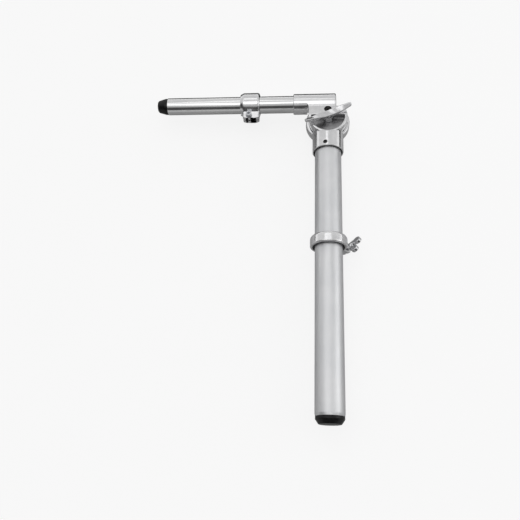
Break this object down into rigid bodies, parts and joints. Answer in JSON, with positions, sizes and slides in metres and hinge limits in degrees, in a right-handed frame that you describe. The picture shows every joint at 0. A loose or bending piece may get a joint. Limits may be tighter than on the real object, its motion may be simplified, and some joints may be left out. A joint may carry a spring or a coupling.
{
  "type": "hinged tube arm with stop collars",
  "caption": "L-shaped arm of a thick and a thin tube joined by a lever-locked hinge knuckle, with sliding stop collars and plugged ends.",
  "frame": {"origin": "centre of the flat end face of the leg's foot plug, on the leg tube's axis", "axes": "+Y along the leg from the foot to the knuckle, -X along the arm as shown, +Z square to both tubes along the knuckle's pivot, towards the wing lever"},
  "size_m": [0.3058, 0.487, 0.0592],
  "materials": {
    "leg_tube_satin": "satin anodised, fine lengthwise grain",
    "arm_tube_polished": "polished, drawn tube",
    "cast_polished": "polished die casting",
    "chromed_casting": "bright chrome",
    "zinc_steel": "bright zinc plate",
    "dark_steel": "black oxide",
    "spring_steel": "oiled spring wire",
    "black_rubber": "moulded, semi-gloss",
    "black_nylon": "moulded",
    "friction_fibre": "pressed fibre"
  },
  "bodies": {
    "leg": {"leg_tube": "leg_tube_satin", "leg_foot_plug": "black_rubber", "knuckle_leg_half": "cast_polished", "socket_grub_screw": "dark_steel", "pivot_bolt": "zinc_steel", "lever_washer": "zinc_steel", "release_spring": "spring_steel"},
    "arm": {"knuckle_arm_half": "cast_polished", "friction_disc": "friction_fibre", "disc_key_screw": "dark_steel", "sleeve_pin": "zinc_steel", "arm_tube": "arm_tube_polished", "arm_end_plug": "black_rubber"},
    "lever": {"wing_lever": "chromed_casting"},
    "leg_stop": {"leg_collar": "cast_polished", "leg_collar_liner": "black_nylon", "leg_collar_nut": "zinc_steel", "leg_collar_washer": "zinc_steel"},
    "leg_stop_screw": {"leg_collar_wing_bolt": "chromed_casting"},
    "arm_stop": {"arm_collar": "cast_polished", "arm_collar_liner": "black_nylon", "arm_collar_nut": "zinc_steel", "arm_collar_washer": "zinc_steel"},
    "arm_stop_screw": {"arm_collar_screw": "zinc_steel"}
  },
  "joints": [
    {"name": "arm_fold", "type": "hinge", "parent": "leg", "child": "arm", "pos_m": [0, 0.4385, 0], "axis": [0, 0, 1], "range_deg": [-90, 65]},
    {"name": "lever_turn", "type": "hinge", "parent": "leg", "child": "lever", "pos_m": [0, 0.4385, 0], "axis": [0, 0, 1], "range_deg": [-75, 30]},
    {"name": "leg_stop_slide", "type": "slide", "parent": "leg", "child": "leg_stop", "axis": [0, 1, 0], "range_m": [-0.215, 0.13]},
    {"name": "leg_stop_screw_turn", "type": "hinge", "parent": "leg_stop", "child": "leg_stop_screw", "pos_m": [0.02245, 0.2415, -0.02245], "axis": [0.7071, 0, 0.7071], "range_deg": [0, 360]},
    {"name": "arm_stop_slide", "type": "slide", "parent": "arm", "child": "arm_stop", "axis": [1, 0, 0], "range_m": [-0.11, 0.05]},
    {"name": "arm_stop_screw_turn", "type": "hinge", "parent": "arm_stop", "child": "arm_stop_screw", "pos_m": [-0.11825, 0.446, 0], "axis": [0, 0, 1], "range_deg": [0, 360]}
  ]
}
